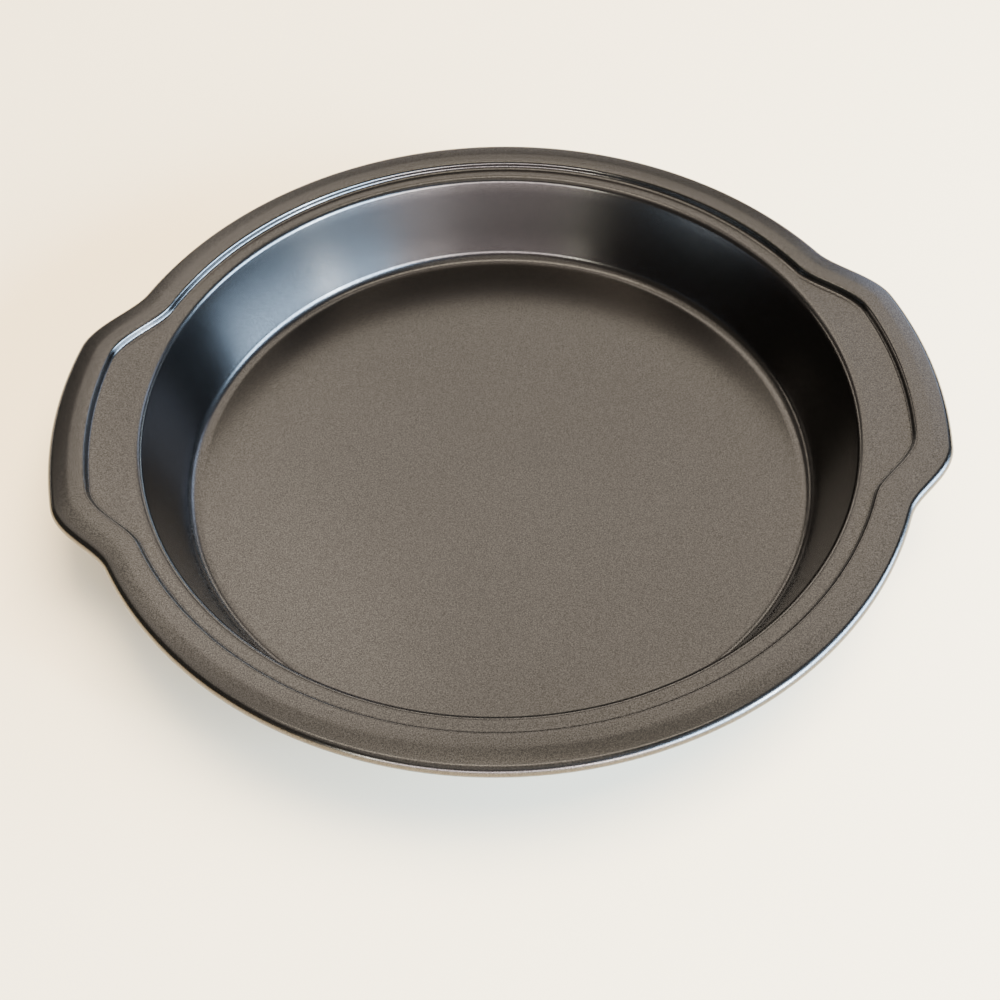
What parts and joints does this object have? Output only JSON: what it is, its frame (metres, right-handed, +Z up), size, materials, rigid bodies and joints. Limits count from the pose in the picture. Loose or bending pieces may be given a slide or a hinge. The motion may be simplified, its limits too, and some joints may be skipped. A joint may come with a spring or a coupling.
{
  "type": "tart pan",
  "caption": "Round non-stick tart pan with a plain sloping side, narrow shelf, raised flange, curled edge and opposite tab handles.",
  "frame": {"origin": "centre of the flat underside, where the pan stands", "axes": "+X through one tab handle, +Z up out of the pan's mouth"},
  "size_m": [0.2856, 0.2652, 0.0353],
  "materials": {
    "nonstick_coat": "satin non-stick coat with fine metallic fleck",
    "coated_steel": "pressed steel sheet with a satin dark grey back finish"
  },
  "bodies": {
    "root": {"inside_coating": "nonstick_coat", "pan_body": "coated_steel"}
  },
  "joints": []
}
